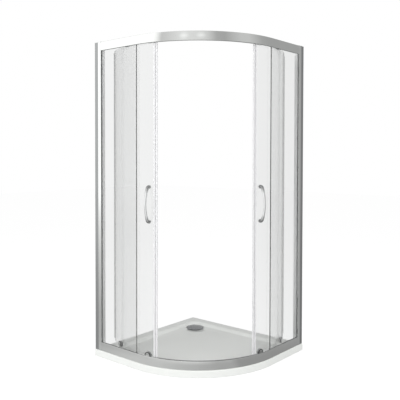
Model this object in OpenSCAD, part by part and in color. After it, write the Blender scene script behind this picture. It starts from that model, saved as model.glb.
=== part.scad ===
// Quadrant shower enclosure: a corner tray, two fixed glass panels on wall profiles,
// a curved top and bottom rail, and two curved glass doors that roll in the rails.
// Walls lie at the tray's left edge (low X) and back edge (high Y). The round front
// corner faces high X and low Y. The origin is the middle of the tray's underside.

/* [Tray] */
// Side of the square that the tray fills, wall to outer edge
tray_w = 900; // [860:10:980]
// Radius of the tray's round front corner
tray_r = 550; // [520:10:580]
// Height of the tray
tray_h = 40; // [36:1:60]
// Radius on the tray's upper outer edge
tray_edge_r = 4; // [2:0.5:6]
// Depth of the basin below the rim
basin_depth = 16; // [12:1:18]
// Width of the rim along the two walls
rim_wall = 62; // [58:1:75]
// Width of the rim under the glazed sides
rim_front = 50; // [46:1:60]
// Horizontal run of the basin's sloping side
basin_slope = 26; // [15:1:35]
// Radius of the basin's plan corners, at the rim
basin_corner_r = 60; // [45:1:90]

/* [Waste] */
// Distance of the waste's centre from each wall
waste_inset = 146; // [140:1:200]
// Diameter of the waste hole in the tray
waste_hole_d = 90; // [84:1:96]
// Diameter of the domed waste cover
cover_d = 116; // [112:1:130]
// Rise of the domed waste cover
cover_rise = 5; // [3:0.5:7]
// Inner radius of the waste's outlet
outlet_r = 19; // [16:0.5:22]

/* [Frame] */
// Height of the enclosure above the tray's rim
enclosure_h = 1830; // [1750:10:1950]
// Set-back of the frame's outer face from the tray's edge
frame_inset = 4; // [2:0.5:8]
// Height of the top and bottom rails
rail_h = 50; // [49:0.5:60]
// Depth of the rails, front to back
rail_d = 35; // [34.5:0.5:40]
// Thickness of the rails' outer wall
rail_face = 3.2; // [3:0.1:3.6]
// Thickness of the rails' inner walls
rail_t = 2; // [1.6:0.1:2.2]
// Bulge of the rails' outer face
rail_crown = 1.2; // [0.6:0.1:1.4]
// Radius on the rails' long outer edges
rail_edge_r = 1.5; // [0.8:0.1:2]
// Height of the channel floor in the bottom rail
sill_h = 14; // [10:0.5:15]
// Height of the bottom rail's inner lip
lip_h = 26; // [25:0.5:26.5]
// Length of a drain slot in the inner lip
weep_l = 24; // [12:1:40]
// Width of the wall profile, seen from outside
wall_profile_w = 30; // [26:1:40]
// Width of the jamb that shows beyond the wall profile
jamb_w = 25; // [24:1:35]
// Wall thickness of the wall profile and the jamb
profile_t = 2; // [1.5:0.1:2.4]
// Step from the jamb's face back to the wall profile's
profile_step = 2; // [1.5:0.5:3]
// Spacing of the three wall screw holes in a wall profile
wall_hole_pitch = 750; // [600:10:800]
// Radius of the wall screw holes
wall_hole_r = 3; // [2.5:0.1:3.5]
// Spacing of the three fixing screws that join a jamb to its wall profile
jamb_screw_pitch = 715; // [600:5:780]

/* [Glass] */
// Thickness of the glass
glass_t = 6; // [5:0.5:6]
// Depth of the fixed glass behind the frame's outer face
fixed_glass_at = 7; // [6.6:0.1:7.2]
// Length of fixed glass held in the jamb
glass_in_jamb = 14; // [10:1:15]
// Gap between a rail's pocket wall and the curved door glass
door_gap = 3.7; // [3.5:0.1:4]
// Height of the door glass's lower edge above the tray's rim
door_rise = 38; // [38:0.5:42]

/* [Doors] */
// Angle from the middle of the front to an open door's leading edge
door_open_angle = 30.4; // [26:0.2:31]
// Angle that one door covers, leading edge to trailing edge
door_span_angle = 48.6; // [47:0.2:50]
// Gap left between the two magnetic seals when the doors are closed
meet_gap = 0.5; // [0.3:0.1:1]
// Width of the magnetic seal beyond the glass
magnet_w = 14; // [10:1:18]
// Angle from the leading edge to the first hanger
hanger_lead_angle = 4.5; // [4:0.1:6]
// Angle from the leading edge to the second hanger
hanger_tail_angle = 24.5; // [22:0.1:25]
// Angle from the leading edge to the first bottom guide
guide_lead_angle = 7; // [6:0.1:9]
// Angle from the leading edge to the second bottom guide
guide_tail_angle = 36; // [33:0.1:40]

/* [Rollers] */
// Radius of a top wheel
wheel_r = 8; // [7.5:0.1:8.2]
// Width of a top wheel
wheel_w = 11; // [9:0.5:11]
// Radius of a top wheel's axle
axle_r = 3; // [2:0.1:3.5]
// Length of a hanger's clamp along the glass
hanger_l = 40; // [30:1:50]
// Radius of a bottom guide wheel
guide_wheel_r = 8.5; // [8:0.1:8.6]
// Height of a bottom guide wheel
guide_wheel_h = 6; // [5:0.5:6]
// Radius of a guide wheel's pin
guide_pin_r = 2; // [1.5:0.1:2.5]
// Radius of a guide's round body and cap
guide_r = 20; // [18:0.5:21]
// Upward travel of the quick-release slider
release_travel = 8; // [7.5:0.1:8]

/* [Handles] */
// Height of a handle's middle above the tray's rim
handle_rise = 893; // [800:1:1000]
// Distance between a handle's two fixings
handle_pitch = 192; // [160:1:224]
// Angle from the leading edge to the handle
handle_angle = 5.7; // [5:0.1:9]
// Distance from the glass to the handle's bar, at its middle
handle_reach = 36; // [32:0.5:42]
// Radius of the handle's bar at its middle
handle_bar_r = 6.5; // [5:0.1:7.5]
// Radius of the handle's bar at its feet
handle_foot_r = 11; // [9:0.1:12]
// Radius that the handle's middle is bowed to
handle_bow_r = 220; // [200:5:300]
// Radius of the bend at each foot
handle_bend_r = 16; // [14:0.5:20]

/* [Hidden] */
$fn = 64;

// Clearances, and how far a cutter runs past the face it cuts
seat_gap = 0.3;
slip_gap = 0.1;
pin_gap = 0.05;
lift_gap = 2.7;
over = 1;

// Plan: the round corner's centre, the wall lines and the frame's outer face
half_w = tray_w / 2;
arc_x = half_w - tray_r;
arc_y = -arc_x;
frame_r = tray_r - frame_inset;
side_l = tray_w - tray_r;
profile_w = wall_profile_w + jamb_w;
rail_side_l = side_l - profile_w;

// Depths behind the frame's outer face
pocket_in = fixed_glass_at + glass_t + seat_gap;
leg_in = pocket_in + rail_t;
door_at = leg_in + door_gap;
door_in = door_at + glass_t;
door_mid = (door_at + door_in) / 2;
lip_at = rail_d - rail_t;
shelf_edge = door_at - 1.5;
plate_at = shelf_edge + 1;
plate_t = 3.5;
wheel_out = rail_face + 2.3;
wheel_in = wheel_out + wheel_w;

// Heights
shelf_t = rail_t + 0.5;
shelf_lip = 5.5;
door_drop = 15;
fixed_drop = 6;
pocket_h = 26;
setting_t = 4;
rim_z = tray_h;
floor_z = tray_h - basin_depth;
top_z = rim_z + enclosure_h;
top_rail_z = top_z - rail_h;
chamber_top = top_z - shelf_t;
wheel_z = chamber_top - lift_gap - wheel_r;
shelf_z = wheel_z - wheel_r - seat_gap;
shelf_under = shelf_z - shelf_t;
inner_wall_z = shelf_z - shelf_lip;
door_top = inner_wall_z - door_drop;
door_bottom = rim_z + door_rise;
pocket_floor = rim_z + pocket_h;
bottom_rail_top = rim_z + rail_h;
fixed_bottom = pocket_floor + setting_t;
fixed_top = shelf_under - fixed_drop;
rim_span_z = rim_z + enclosure_h / 2;

// Waste: a cup that hangs in the tray by its flange, over an outlet bore
cup_t = 2;
washer_t = 1;
flange_t = 2 * washer_t;
cup_r = waste_hole_d / 2 - 1;
flange_r = waste_hole_d / 2 + 5;
cup_z = 1;
outlet_l = 10;
cover_t = 2;
cover_z = floor_z + 3;
dome_r = (pow(cover_d / 2, 2) + pow(cover_rise, 2)) / (2 * cover_rise);
rib_l = 8;
rib_t = 2;
stem_r = 5;
strainer_z = 13;
strainer_t = 2;
strainer_h = 9;
strainer_r = cup_r - cup_t - 4;

// Wall profiles and jambs
tongue_gap = 0.3;
tongue_end = 8;
tongue_at = profile_step + profile_t + tongue_gap;
groove_gap = 1.5;
groove_l = glass_in_jamb + 2;
groove_near = fixed_glass_at - groove_gap;
groove_far = fixed_glass_at + glass_t + groove_gap;
profile_cap_t = 1.5;
profile_cap_skirt = 8;
screw_r = 2;
screw_head_r = 3.6;
screw_head_h = 2;
screw_at = wall_profile_w - 10;
jamb_screw_l = 7;
screw_cap_r = 5.5;
screw_cap_h = 4;
block_l = 22;
block_screw_l = 17;
block_screw_at = rail_d - 11;
block_z_top = wheel_z;
block_z_bottom = rim_z + sill_h / 2;

// Gaskets, infill strips and seals
gasket_t = fixed_glass_at - rail_face - 2 * seat_gap;
gasket_h = 13;
infill_h = 12;
bead_w = 2.5;
bead_t = 1.5;
edge_seal_t = 1.8;
edge_seal_grip = 8;
fin_t = 1.2;
fin_z = bottom_rail_top + 24;
magnet_t = 9;
magnet_body_w = 6;
seal_t = 1.4;
seal_grip = 9;
trail_seal_w = 3;

// Doors: angles of the parts of an open left door, about the round corner's centre
lead_a = -45 - door_open_angle;
tail_a = lead_a - door_span_angle;
door_r = frame_r - door_at;
door_in_r = frame_r - door_in;
mid_r = frame_r - door_mid;
magnet_a = lead_a - mm_angle(magnet_w, mid_r);
trail_edge_a = tail_a + mm_angle(trail_seal_w, mid_r);
closed_angle = mm_angle(meet_gap / 2, mid_r);

// Handles
handle_a = lead_a - handle_angle;
handle_z = rim_z + handle_rise;
hole_r = 6;
bush_t = 1;
washer_r = handle_foot_r - 2;
bar_sides = 20;
bow_steps = 12;
bend_steps = 8;
bow_share = 0.55;
bow_a = asin((handle_pitch / 2 - handle_bend_r) / (handle_bow_r - handle_bend_r));
foot_reach = handle_reach - handle_bend_r * cos(bow_a) - handle_bow_r * (1 - cos(bow_a));

// Hangers, and the stops that their plates run against
hanger_angles = [lead_a - hanger_lead_angle, lead_a - hanger_tail_angle];
cheek_t = 2.3;
clamp_h = 7;
crown_t = 3.5;
plate_half_w = 8;
boss_r = 4.5;
stop_l = 26;
stop_t = 6;
stop_h = 10;
stop_gap = 0.4;
stop_half_angle = 1.4;
middle_stop_angle = hanger_lead_angle + closed_angle
  - mm_angle(plate_half_w + stop_gap, frame_r - plate_at);
side_stop_at = half_w + arc_x + (frame_r - plate_at) * cos(hanger_angles[1])
  + plate_half_w * sin(hanger_angles[1]) - stop_gap;

// Bottom guides
guide_z = bottom_rail_top - 3;
guide_wheel_at = leg_in + seat_gap + guide_wheel_r;
foot_t = 2.5;
pin_head_h = 1.2;
tail_foot_z = door_bottom - 0.4 - foot_t;
tail_wheel_z = tail_foot_z - seat_gap - guide_wheel_h;
lead_foot_z = tail_foot_z - release_travel - 1.3;
lead_wheel_z = lead_foot_z - seat_gap - guide_wheel_h;
body_t = 10;
body_back = door_in_r - body_t - 0.6;
body_bottom = door_bottom - 0.5;
bolt_z = guide_z + 12;
slot_top = bolt_z - 4.5;
slider_w = 13.4;
slider_t = 4.9;
slider_at = door_in + 2.3;
slider_back = frame_r - slider_at - slider_t;
tab_w = 8;
tab_h = 4;
tab_z = body_bottom + 3;
cap_hole_r = 4;
cap_t = door_gap - 1.2;
cap_dome_r = 130;

// Length along a circle of radius r as an angle in degrees
function mm_angle(l, r) = l / r * 180 / PI;

// Places things at an angle about the round corner's centre: X points outwards
module at_angle(a) translate([arc_x, arc_y, 0]) rotate([0, 0, a]) children();

// A band that follows the round corner, given by depths, heights and angles
module arc_band(u0, u1, z0, z1, a0, a1) {
  at_angle(min(a0, a1)) rotate_extrude(angle = abs(a1 - a0))
    translate([frame_r - u1, z0]) square([u1 - u0, z1 - z0]);
}

// A box on the left side, given by distances from the wall, depths and heights
module side_box(s0, s1, u0, u1, z0, z1) {
  translate([s0 - half_w, u0 + frame_inset - half_w, z0]) cube([s1 - s0, u1 - u0, z1 - z0]);
}

// Turns the left side into the right side
module right_side() mirror([1, 1, 0]) children();

// Draws a section, given as depth and height, against an outer face at radius outer_r
module depth_section(outer_r) translate([outer_r, 0]) mirror([1, 0]) children();

// Carries a section along the left side, the round corner and the right side
module front_sweep(outer_r, side) {
  translate([arc_x, arc_y, 0]) {
    rotate([0, 0, -90]) rotate_extrude(angle = 90) depth_section(outer_r) children();
    rotate([90, 0, -90]) linear_extrude(side) depth_section(outer_r) children();
    translate([0, side, 0]) rotate([90, 0, 0]) linear_extrude(side)
      depth_section(outer_r) children();
  }
}

// Plan outline of the tray
module tray_outline() {
  intersection() {
    square(tray_w, center = true);
    union() {
      translate([-half_w, -half_w]) square([side_l, tray_w]);
      translate([-half_w, arc_y]) square([tray_w, side_l]);
      translate([arc_x, arc_y]) circle(tray_r, $fn = 180);
    }
  }
}

// Points of the basin's outline, set in from the walls and from the front
function corner_points(x, y, r, a0) =
  [for (i = [0:6]) [x + r * cos(a0 + i * 15), y + r * sin(a0 + i * 15)]];
function basin_points(wall, front, r) = concat(
  [for (i = [0:24]) [arc_x + (tray_r - front) * cos(-90 + i * 3.75),
                     arc_y + (tray_r - front) * sin(-90 + i * 3.75)]],
  corner_points(half_w - front - r, half_w - wall - r, r, 0),
  corner_points(-half_w + wall + r, half_w - wall - r, r, 90),
  corner_points(-half_w + wall + r, -half_w + front + r, r, 180));

// The hollow of the basin, with sloping sides
module basin_hollow() {
  hull() {
    translate([0, 0, rim_z]) linear_extrude(over)
      polygon(basin_points(rim_wall, rim_front, basin_corner_r));
    translate([0, 0, floor_z]) linear_extrude(over)
      polygon(basin_points(rim_wall + basin_slope, rim_front + basin_slope,
                           basin_corner_r - basin_slope / 2));
  }
}

// Cutter that rounds the tray's upper outer edge
module tray_edge_section() {
  difference() {
    translate([-over, tray_h - tray_edge_r]) square(tray_edge_r + over);
    translate([tray_edge_r, tray_h - tray_edge_r]) circle(tray_edge_r);
  }
}

module at_waste() translate([waste_inset - half_w, half_w - waste_inset, 0]) children();

module shower_tray() {
  color([0.93, 0.93, 0.92]) difference() {
    linear_extrude(tray_h) tray_outline();
    basin_hollow();
    front_sweep(tray_r, side_l + over) tray_edge_section();
    at_waste() {
      translate([0, 0, -over]) cylinder(h = tray_h, d = waste_hole_d);
      translate([0, 0, floor_z - flange_t]) cylinder(h = tray_h, r = flange_r + seat_gap);
    }
  }
}

// Cup of the waste, with its flange and its outlet
module waste_body() {
  color([0.75, 0.76, 0.77]) at_waste() rotate_extrude() {
    translate([cup_r - cup_t, floor_z - washer_t]) square([flange_r - cup_r + cup_t, washer_t]);
    translate([cup_r - cup_t, cup_z]) square([cup_t, floor_z - cup_z]);
    translate([outlet_r, cup_z]) square([cup_r - outlet_r, cup_t]);
    translate([outlet_r, cup_z]) square([cup_t, outlet_l]);
  }
}

module waste_seal() {
  color([0.12, 0.12, 0.12]) at_waste() translate([0, 0, floor_z - flange_t])
    difference() {
      cylinder(h = washer_t, r = flange_r);
      translate([0, 0, -over]) cylinder(h = washer_t + 2 * over, r = cup_r + seat_gap);
    }
}

// Domed cover: a spherical cap with six ribs below its edge, on a stem
module waste_cover() {
  color([0.72, 0.73, 0.74]) at_waste() {
    translate([0, 0, cover_z]) rotate_extrude($fn = 96) difference() {
      intersection() {
        translate([0, cover_rise + cover_t - dome_r]) circle(dome_r, $fn = 720);
        square([cover_d / 2, cover_rise + cover_t]);
      }
      translate([0, cover_rise - dome_r]) circle(dome_r, $fn = 720);
    }
    for (i = [0:5]) rotate([0, 0, i * 60])
      translate([cover_d / 2 - rib_l - 3, -rib_t / 2, floor_z + seat_gap])
        cube([rib_l, rib_t, cover_z - floor_z + 2 * seat_gap]);
    translate([0, 0, strainer_z + strainer_t / 2])
      cylinder(h = cover_z - strainer_z + cover_rise, r = stem_r);
  }
}

module waste_strainer() {
  color([0.55, 0.56, 0.57]) at_waste() difference() {
    rotate_extrude() {
      translate([stem_r - strainer_t, strainer_z]) square([strainer_r - stem_r + strainer_t, strainer_t]);
      translate([strainer_r - strainer_t, strainer_z]) square([strainer_t, strainer_h]);
    }
    for (i = [0:11]) rotate([0, 0, i * 30]) translate([2 * stem_r + 2, -1.5, strainer_z - over])
      cube([strainer_r - 2 * stem_r - 7, 3, strainer_t + 2 * over]);
    translate([0, 0, strainer_z + strainer_t / 2]) cylinder(h = strainer_t, r = stem_r + pin_gap);
  }
}

// Wall profile: a channel against the wall, with holes for the wall screws
module wall_profile() {
  near = profile_step;
  far = rail_d - profile_step;
  difference() {
    side_box(0, wall_profile_w, near, far, rim_z, top_z);
    side_box(profile_t, wall_profile_w + over, near + profile_t, far - profile_t,
             rim_z - over, top_z + over);
    for (k = [-1:1]) translate([-half_w, frame_inset - half_w + rail_d / 2,
                                rim_span_z + k * wall_hole_pitch])
      rotate([0, 90, 0]) cylinder(h = 4 * profile_t, r = wall_hole_r, center = true);
    for (k = [-1:1]) jamb_screw_place(k) cylinder(h = 20, r = screw_r + slip_gap, center = true);
  }
}

module wall_profile_left() color([0.70, 0.71, 0.72]) wall_profile();

module wall_profile_right() color([0.70, 0.71, 0.72]) right_side() wall_profile();

// Jamb: a box section with a glazing groove, and a tongue inside the wall profile
module jamb() {
  difference() {
    union() {
      side_box(wall_profile_w + seat_gap, profile_w, 0, rail_d, rim_z, top_z);
      side_box(tongue_end, wall_profile_w + over, tongue_at, rail_d - tongue_at, rim_z, top_z);
    }
    difference() {
      side_box(wall_profile_w + seat_gap + profile_t, profile_w - profile_t,
               profile_t, rail_d - profile_t, rim_z - over, top_z + over);
      side_box(profile_w - groove_l - profile_t, profile_w + over,
               groove_near - profile_t, groove_far + profile_t, rim_z - 2 * over, top_z + 2 * over);
    }
    side_box(tongue_end - over, wall_profile_w + seat_gap, tongue_at + profile_t,
             rail_d - tongue_at - profile_t, rim_z - over, top_z + over);
    side_box(profile_w - groove_l, profile_w + over, groove_near, groove_far,
             rim_z - over, top_z + over);
    for (k = [-1:1]) jamb_screw_place(k) cylinder(h = 20, r = screw_r + slip_gap, center = true);
    for (z = [block_z_bottom, block_z_top]) block_screw_place(z)
      translate([0, 0, -over]) cylinder(h = profile_t + 2 * over, r = screw_r + slip_gap);
  }
}

module jamb_left() color([0.76, 0.77, 0.78]) jamb();

module jamb_right() color([0.76, 0.77, 0.78]) right_side() jamb();

// Puts Z along a jamb screw's axis, with zero on the wall profile's inner face
module jamb_screw_place(k) {
  translate([screw_at - half_w, frame_inset - half_w + rail_d - profile_step,
             rim_span_z + k * jamb_screw_pitch]) rotate([-90, 0, 0]) children();
}

module both_sides() {
  children();
  right_side() children();
}

module jamb_screws() {
  color([0.6, 0.6, 0.62]) both_sides() for (k = [-1:1]) jamb_screw_place(k) {
    cylinder(h = screw_head_h, r = screw_head_r);
    translate([0, 0, -jamb_screw_l]) cylinder(h = jamb_screw_l + over, r = screw_r);
  }
}

module jamb_screw_caps() {
  color([0.85, 0.85, 0.86]) both_sides() for (k = [-1:1]) jamb_screw_place(k)
    rotate_extrude() difference() {
      intersection() {
        square([screw_cap_r, screw_cap_h]);
        translate([0, -3]) circle(screw_cap_h + 3);
      }
      translate([-over, -over]) square([screw_head_r + slip_gap + over, screw_head_h + seat_gap + over]);
    }
}

// Caps that close the tops of the wall profiles and jambs
module profile_cap() {
  skirt_at = tongue_at + profile_t + seat_gap;
  side_box(0, profile_w, profile_step, rail_d - profile_step, top_z, top_z + profile_cap_t);
  side_box(wall_profile_w + seat_gap, profile_w, 0, rail_d, top_z, top_z + profile_cap_t);
  side_box(tongue_end, wall_profile_w, skirt_at, rail_d - skirt_at,
           top_z - profile_cap_skirt, top_z + profile_cap_t / 2);
}

module profile_caps() color([0.66, 0.67, 0.68]) both_sides() profile_cap();

// Outline of a rail with a bulging outer face, as depth and height above its lower edge
module rail_outline(depth) {
  crown_r = (pow(rail_h / 2, 2) + pow(rail_crown, 2)) / (2 * rail_crown);
  e = rail_edge_r;
  intersection() {
    union() {
      translate([rail_crown + e, 0]) square([depth - rail_crown - e, rail_h]);
      translate([0, e]) square([depth, rail_h - 2 * e]);
      for (z = [e, rail_h - e]) translate([rail_crown + e, z]) circle(e);
    }
    translate([crown_r, rail_h / 2]) circle(crown_r, $fn = 720);
  }
}

module top_rail_section() {
  difference() {
    translate([0, top_rail_z]) rail_outline(rail_d);
    translate([rail_face, top_rail_z - over]) square([pocket_in - rail_face,
                                                      shelf_under - top_rail_z + over]);
    translate([leg_in, top_rail_z - over]) square([rail_d, inner_wall_z - top_rail_z + over]);
    translate([shelf_edge, top_rail_z]) square([lip_at - shelf_edge, rail_h / 2 + 8]);
    translate([rail_face, shelf_z]) square([lip_at - rail_face, chamber_top - shelf_z]);
  }
}

module top_rail() {
  color([0.80, 0.81, 0.82]) front_sweep(frame_r, rail_side_l) top_rail_section();
}

module bottom_rail_section() {
  difference() {
    union() {
      intersection() {
        translate([0, rim_z]) rail_outline(rail_d);
        translate([0, rim_z]) square([leg_in, rail_h]);
      }
      translate([leg_in - over, rim_z]) square([rail_d - leg_in + over, sill_h]);
      translate([lip_at, rim_z]) square([rail_t, lip_h - rail_t / 2]);
      translate([lip_at + rail_t / 2, rim_z + lip_h - rail_t / 2]) circle(rail_t / 2);
    }
    translate([rail_face, pocket_floor]) square([pocket_in - rail_face, rail_h]);
    translate([rail_face, rim_z + rail_t]) square([pocket_in - rail_face,
                                                   pocket_floor - rim_z - 2 * rail_t]);
    translate([leg_in, rim_z + rail_t]) square([lip_at - leg_in, sill_h - 2 * rail_t]);
  }
}

module bottom_rail() {
  color([0.72, 0.73, 0.74]) difference() {
    front_sweep(frame_r, rail_side_l) bottom_rail_section();
    both_sides() for (k = [1, 2]) side_box(profile_w + k * rail_side_l / 3 - weep_l / 2,
        profile_w + k * rail_side_l / 3 + weep_l / 2, lip_at - over, rail_d + over,
        rim_z + sill_h, rim_z + sill_h + 5);
  }
}

// Outer glazing gaskets, which show as a dark line along both rails
module gasket_section(z0) {
  translate([rail_face + seat_gap, z0]) square([gasket_t, gasket_h]);
}

module rail_gaskets() {
  color([0.30, 0.31, 0.32]) {
    front_sweep(frame_r, rail_side_l) gasket_section(top_rail_z - over);
    front_sweep(frame_r, rail_side_l) gasket_section(bottom_rail_top + over - gasket_h);
  }
}

// Strips that close the glazing pockets along the round corner, between the fixed panels
module rail_infills() {
  a = mm_angle(4, frame_r);
  color([0.70, 0.71, 0.72]) {
    arc_band(fixed_glass_at, pocket_in - seat_gap, top_rail_z, top_rail_z + infill_h, -90 + a, -a);
    arc_band(fixed_glass_at, pocket_in - seat_gap, bottom_rail_top - infill_h, bottom_rail_top,
             -90 + a, -a);
  }
}

// Blocks in the rails' ends that take the screws from the jambs
module rail_end_blocks() {
  color([0.25, 0.25, 0.26]) both_sides() {
    difference() {
      side_box(profile_w, profile_w + block_l, rail_face + seat_gap, lip_at - seat_gap,
               shelf_z + seat_gap, chamber_top - seat_gap);
      block_screw_hole(block_z_top);
    }
    difference() {
      side_box(profile_w, profile_w + block_l, leg_in + seat_gap, lip_at - seat_gap,
               rim_z + rail_t + seat_gap, rim_z + sill_h - rail_t - seat_gap);
      block_screw_hole(block_z_bottom);
    }
  }
}

// Puts Z along a rail screw's axis, with zero on the jamb's inner face
module block_screw_place(z) {
  translate([profile_w - half_w - profile_t, frame_inset - half_w + block_screw_at, z])
    rotate([0, 90, 0]) children();
}

module block_screw_hole(z) {
  block_screw_place(z) cylinder(h = block_screw_l + over, r = screw_r + pin_gap);
}

module rail_screws() {
  color([0.6, 0.6, 0.62]) both_sides() for (z = [block_z_bottom, block_z_top])
    block_screw_place(z) {
      translate([0, 0, -screw_head_h]) cylinder(h = screw_head_h, r = screw_head_r);
      translate([0, 0, -over]) cylinder(h = block_screw_l + over, r = screw_r);
    }
}

// Stops in the top rail: one behind each open door, and one in the middle
module door_stops() {
  z0 = wheel_z - stop_h / 2;
  z1 = wheel_z + stop_h / 2;
  color([0.20, 0.20, 0.21]) {
    both_sides() {
      side_box(side_stop_at - stop_l, side_stop_at - stop_t + over, rail_face + seat_gap,
               lip_at - seat_gap, shelf_z, chamber_top - seat_gap);
      side_box(side_stop_at - stop_t, side_stop_at, lip_at - seat_gap - stop_t, lip_at - 2 * seat_gap,
               z0, z1);
    }
    arc_band(rail_face + seat_gap, shelf_edge - seat_gap, shelf_z, chamber_top - seat_gap,
             -45 - stop_half_angle, -45 + stop_half_angle);
    arc_band(shelf_edge - over, plate_at + over, z0 + over, z1 - over,
             -45 - stop_half_angle / 2, -45 + stop_half_angle / 2);
    arc_band(plate_at + seat_gap, plate_at + plate_t, z0, z1,
             -45 - middle_stop_angle, -45 + middle_stop_angle);
  }
}

// Fixed glass, from the jamb's groove to the start of the round corner
module fixed_glass() {
  side_box(profile_w - glass_in_jamb, side_l - edge_seal_t - seat_gap, fixed_glass_at,
           fixed_glass_at + glass_t, fixed_bottom, fixed_top);
}

module fixed_glass_left() color([0.80, 0.88, 0.86, 0.35]) fixed_glass();

module fixed_glass_right() color([0.80, 0.88, 0.86, 0.35]) right_side() fixed_glass();

module setting_blocks() {
  color([0.15, 0.15, 0.15]) both_sides() for (s = [profile_w + 40, side_l - 70])
    side_box(s, s + 30, rail_face + seat_gap, pocket_in - seat_gap, pocket_floor, fixed_bottom);
}

// Gasket in the jamb's groove: a channel round the glass edge with a bead each side
module jamb_gasket() {
  z0 = bottom_rail_top + bead_t;
  z1 = top_rail_z - bead_t;
  difference() {
    union() {
      side_box(profile_w - groove_l + seat_gap, profile_w + bead_w, groove_near + seat_gap,
               groove_far - seat_gap, z0, z1);
      side_box(profile_w + seat_gap, profile_w + bead_w, groove_near - bead_t, groove_far + bead_t,
               z0, z1);
    }
    side_box(profile_w - glass_in_jamb - slip_gap, profile_w + bead_w + over,
             fixed_glass_at - slip_gap, fixed_glass_at + glass_t + slip_gap, rim_z, top_z);
  }
}

module jamb_gasket_left() color([0.30, 0.31, 0.32]) jamb_gasket();

module jamb_gasket_right() color([0.30, 0.31, 0.32]) right_side() jamb_gasket();

// Seal on the free edge of a fixed panel, with a fin that reaches for the door
module edge_seal() {
  z1 = top_rail_z - bead_t;
  difference() {
    side_box(side_l - edge_seal_grip, side_l, fixed_glass_at - seal_t, fixed_glass_at + glass_t + seal_t,
             bottom_rail_top + bead_t, z1);
    side_box(side_l - edge_seal_grip - over, side_l - edge_seal_t, fixed_glass_at - slip_gap,
             fixed_glass_at + glass_t + slip_gap, rim_z, top_z);
  }
  side_box(side_l - fin_t, side_l, fixed_glass_at + glass_t + seal_t / 2, door_at - 0.5, fin_z, z1);
}

module edge_seal_left() color([0.78, 0.80, 0.80]) edge_seal();

module edge_seal_right() color([0.78, 0.80, 0.80]) right_side() edge_seal();

// Curved door glass, with holes for the handle and the bottom guides
module radial_hole(a, z, r) {
  at_angle(a) translate([door_in_r - glass_t, 0, z]) rotate([0, 90, 0]) cylinder(h = 3 * glass_t, r = r);
}

module door_glass() {
  difference() {
    arc_band(door_at, door_in, door_bottom, door_top, magnet_a, trail_edge_a);
    for (k = [-0.5, 0.5]) radial_hole(handle_a, handle_z + k * handle_pitch, hole_r);
    for (a = [guide_lead_angle, guide_tail_angle]) radial_hole(lead_a - a, bolt_z, cap_hole_r);
  }
}

module door_glass_left() color([0.80, 0.88, 0.86, 0.35]) door_glass();

module door_glass_right() color([0.80, 0.88, 0.86, 0.35]) right_side() door_glass();

// Magnetic seal: a channel on the glass, a web and a magnet strip on its nose
module magnet_seal() {
  z0 = door_bottom + 2;
  z1 = door_top - clamp_h - over;
  difference() {
    arc_band(door_at - seal_t, door_in + seal_t, z0, z1, magnet_a - mm_angle(seal_grip, mid_r),
             magnet_a + mm_angle(2 * seal_t, mid_r));
    arc_band(door_at - slip_gap, door_in + slip_gap, z0 - over, z1 + over,
             magnet_a - mm_angle(seal_grip + over, mid_r), magnet_a + mm_angle(seat_gap, mid_r));
  }
  arc_band(door_mid - seal_t, door_mid + seal_t, z0 + over, z1 - over,
           magnet_a + mm_angle(seal_t, mid_r), lead_a - mm_angle(magnet_body_w / 2, mid_r));
  arc_band(door_mid - magnet_t / 2, door_mid + magnet_t / 2, z0, z1,
           lead_a - mm_angle(magnet_body_w, mid_r), lead_a);
}

module magnet_seal_left() color([0.90, 0.91, 0.94]) magnet_seal();

module magnet_seal_right() color([0.90, 0.91, 0.94]) right_side() magnet_seal();

// Trailing seal: a channel on the glass with a fin that reaches for the fixed panel
module trailing_seal() {
  z0 = bottom_rail_top + 4;
  z1 = top_rail_z - 4;
  difference() {
    arc_band(door_at - fin_t, door_in + fin_t, z0, z1, tail_a, trail_edge_a + mm_angle(seal_grip, mid_r));
    arc_band(door_at - slip_gap, door_in + slip_gap, z0 - over, z1 + over,
             trail_edge_a - mm_angle(seat_gap, mid_r), trail_edge_a + mm_angle(seal_grip + over, mid_r));
  }
  arc_band(door_at - 4, door_at - fin_t / 2, z0, z1, tail_a, tail_a + mm_angle(fin_t, mid_r));
}

module trailing_seal_left() color([0.80, 0.82, 0.82]) trailing_seal();

module trailing_seal_right() color([0.80, 0.82, 0.82]) right_side() trailing_seal();

// Handle: one bowed bar that thickens into a foot at each end. Its centre line is a
// straight foot, a bend and half of a wide bow, mirrored about the handle's middle.
// A ring of the bar is its distance from the glass, height, tilt and radius.
function bow_ring(i) =
  let (b = bow_a * i / bow_steps)
  [foot_reach + handle_bend_r * cos(bow_a) + handle_bow_r * (cos(b) - cos(bow_a)),
   handle_bow_r * sin(b), b,
   handle_bar_r + (handle_foot_r - handle_bar_r) * bow_share * pow(i / bow_steps, 2)];
function bend_ring(i) =
  let (b = bow_a + (90 - bow_a) * i / bend_steps)
  [foot_reach + handle_bend_r * cos(b), handle_pitch / 2 + handle_bend_r * (sin(b) - 1), b,
   handle_bar_r + (handle_foot_r - handle_bar_r) * (bow_share + (1 - bow_share) * i / bend_steps)];
upper_rings = concat([for (i = [0:bow_steps]) bow_ring(i)], [for (i = [1:bend_steps]) bend_ring(i)],
                     [[bush_t, handle_pitch / 2, 90, handle_foot_r]]);
rings = concat([for (i = [len(upper_rings) - 1:-1:1])
                  [upper_rings[i][0], -upper_rings[i][1], -upper_rings[i][2], upper_rings[i][3]]],
               upper_rings);

// Points of one ring, square to the centre line
function ring_points(g) = [for (k = [0:bar_sides - 1])
  let (a = k * 360 / bar_sides, s = g[3] * cos(a))
  [g[0] + s * cos(g[2]), g[3] * sin(a), g[1] + s * sin(g[2])]];

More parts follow.
